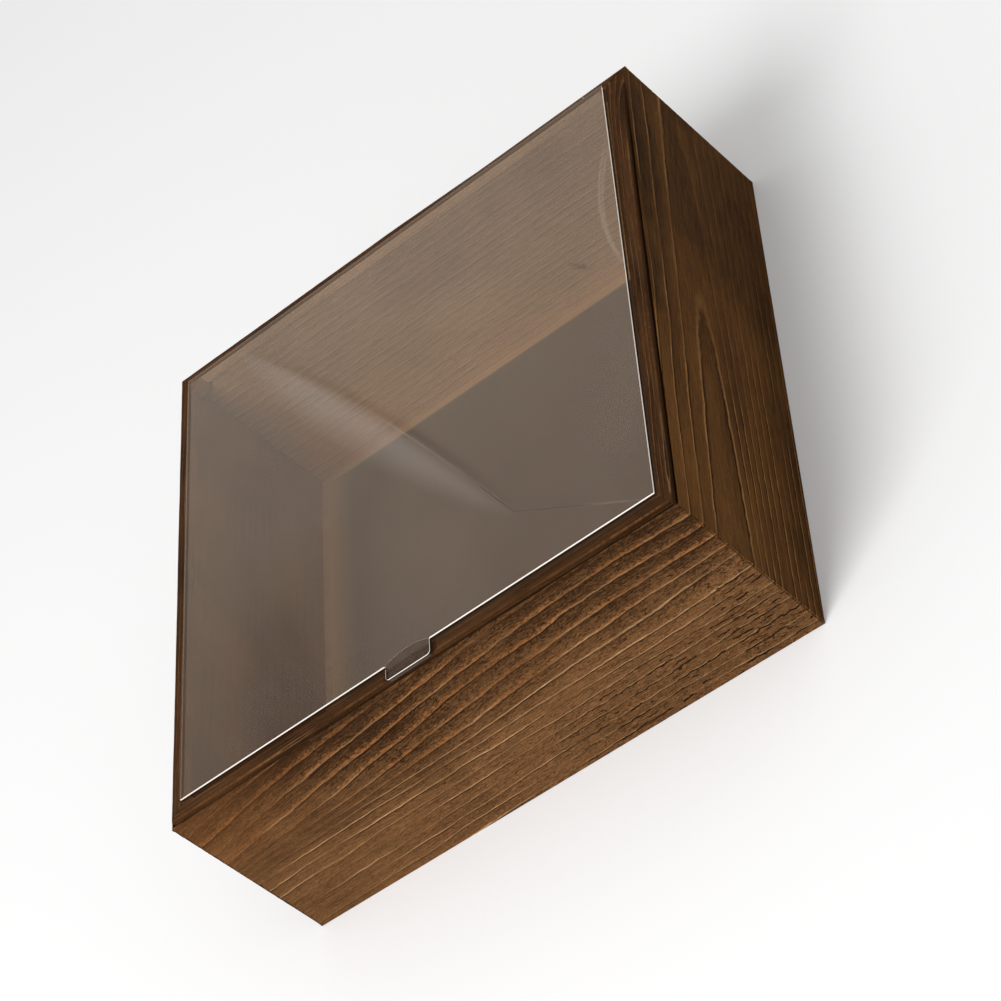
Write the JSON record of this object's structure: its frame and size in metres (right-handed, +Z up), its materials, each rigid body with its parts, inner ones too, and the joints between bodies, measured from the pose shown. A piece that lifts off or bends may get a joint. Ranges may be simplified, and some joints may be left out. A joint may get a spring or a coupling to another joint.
{
  "type": "keepsake box",
  "caption": "Square dark-stained wooden keepsake box with mitred boards, raised rim strips and a clear lift-off lid with a pull tab.",
  "frame": {"origin": "on the surface that the box stands on, under the middle of the box", "axes": "+Z up, out through the lid; -Y towards the side with the pull tab; +X to the right seen from that side"},
  "size_m": [0.3, 0.3, 0.1049],
  "materials": {
    "stained_board": "dark walnut stain over wire-brushed grain, matt oil",
    "rim_wood": "darker stain, satin",
    "floor_wood": "thin stained panel, matt",
    "lining": "matt dark grey-brown lining sheet",
    "brad_steel": "plain steel wire, dulled",
    "clear_panel": "clear sheet with polished edges"
  },
  "bodies": {
    "box": {"front_board": "stained_board", "right_board": "stained_board", "back_board": "stained_board", "left_board": "stained_board", "front_strip": "rim_wood", "right_strip": "rim_wood", "back_strip": "rim_wood", "left_strip": "rim_wood", "floor_panel": "floor_wood", "floor_lining": "lining", "floor_brads": "brad_steel", "strip_brads": "brad_steel", "front_left_rest": "rim_wood", "front_right_rest": "rim_wood", "back_right_rest": "rim_wood", "back_left_rest": "rim_wood"},
    "lid": {"lid_panel": "clear_panel"}
  },
  "joints": [
    {"name": "lid_lift", "type": "slide", "parent": "box", "child": "lid", "axis": [0, 0, 1], "range_m": [0, 0.08]}
  ]
}
